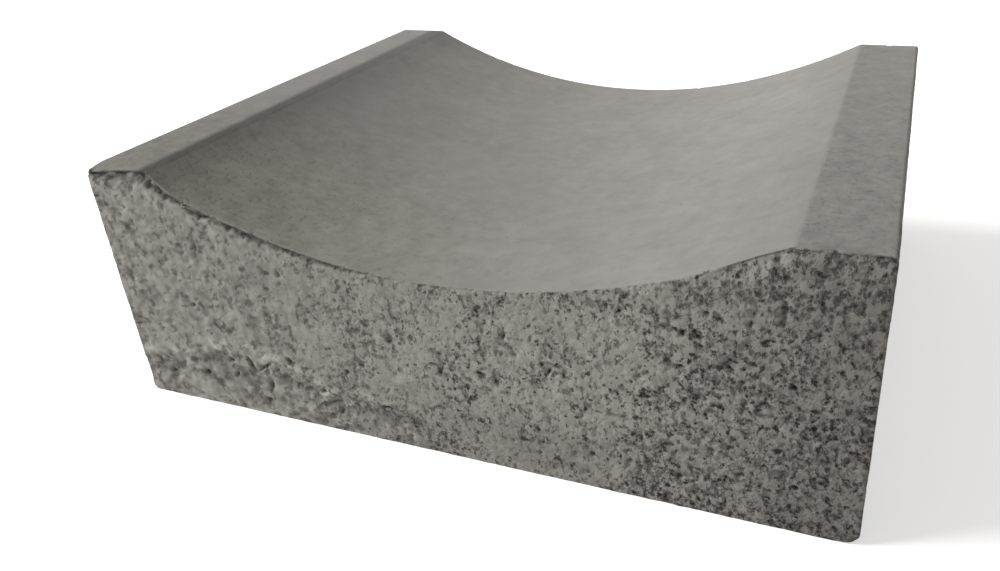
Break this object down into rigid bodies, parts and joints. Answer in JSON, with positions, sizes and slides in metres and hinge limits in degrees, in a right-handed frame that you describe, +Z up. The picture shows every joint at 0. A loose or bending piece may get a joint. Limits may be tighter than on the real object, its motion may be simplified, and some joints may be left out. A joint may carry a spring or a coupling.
{
  "type": "concrete gutter channel",
  "caption": "Rectangular precast concrete channel stone with a shallow circular dish along its top between two flat lips, laid end to end to carry surface water.",
  "frame": {"origin": "middle of the base, on the bedding plane", "axes": "+X across the stone from lip to lip, +Y along the flow of water, +Z up"},
  "size_m": [0.4, 0.33, 0.14],
  "materials": {
    "concrete": "grey pressed concrete: fine and smooth on the dish and lips, open and pitted on the ends and sides"
  },
  "bodies": {
    "root": {"gutter_channel": "concrete"}
  },
  "joints": []
}
